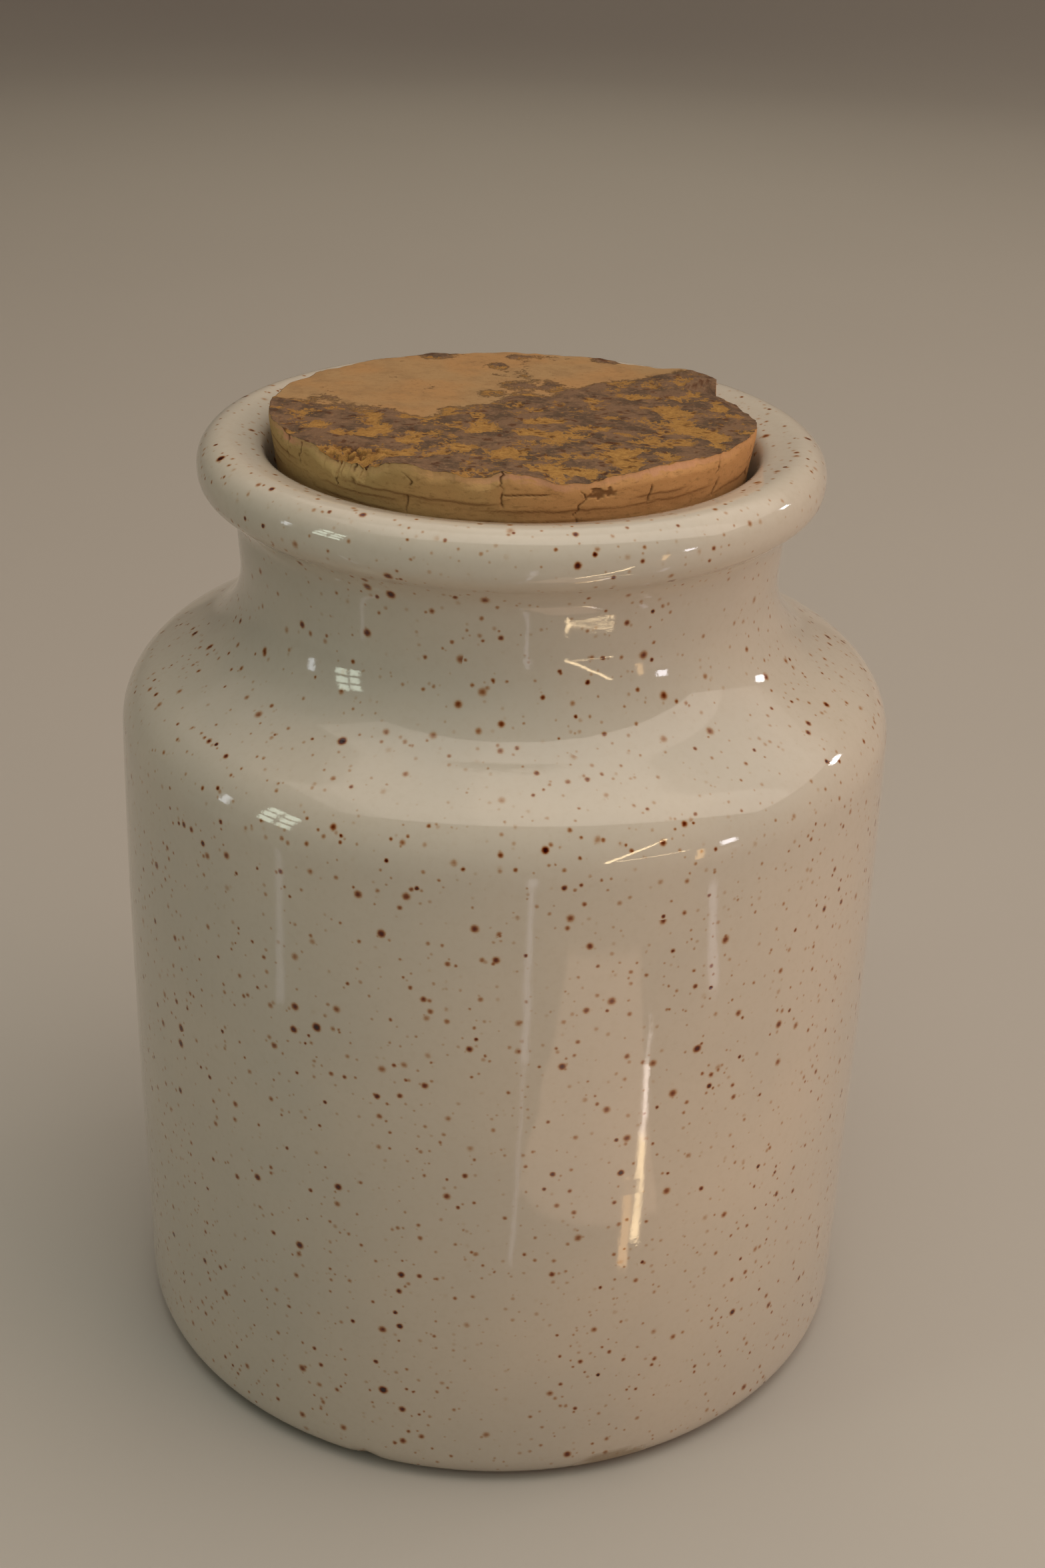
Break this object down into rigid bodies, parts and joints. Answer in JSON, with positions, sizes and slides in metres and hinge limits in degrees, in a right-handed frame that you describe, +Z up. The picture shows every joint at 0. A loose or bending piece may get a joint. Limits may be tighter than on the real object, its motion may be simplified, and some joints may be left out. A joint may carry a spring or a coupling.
{
  "type": "food canister",
  "caption": "Round stoneware storage jar with straight sides, a short neck and a rolled lip, closed by a tapered slab-cork stopper that lifts out.",
  "frame": {"origin": "on the jar's axis, at the plane of the foot ring that it stands on", "axes": "+Z up along the jar's axis; -Y towards the viewer of the front"},
  "size_m": [0.1398, 0.1398, 0.1802],
  "materials": {
    "speckled_glaze": "glossy clear-over-cream glaze with fine iron speckle, bare clay on the foot ring",
    "natural_cork": "matte raw cork with weathered bark on its upper face"
  },
  "bodies": {
    "jar": {"jar": "speckled_glaze"},
    "cork_stopper": {"cork_stopper": "natural_cork"}
  },
  "joints": [
    {"name": "cork_lift", "type": "slide", "parent": "jar", "child": "cork_stopper", "axis": [0, 0, 1], "range_m": [0, 0.06]}
  ]
}
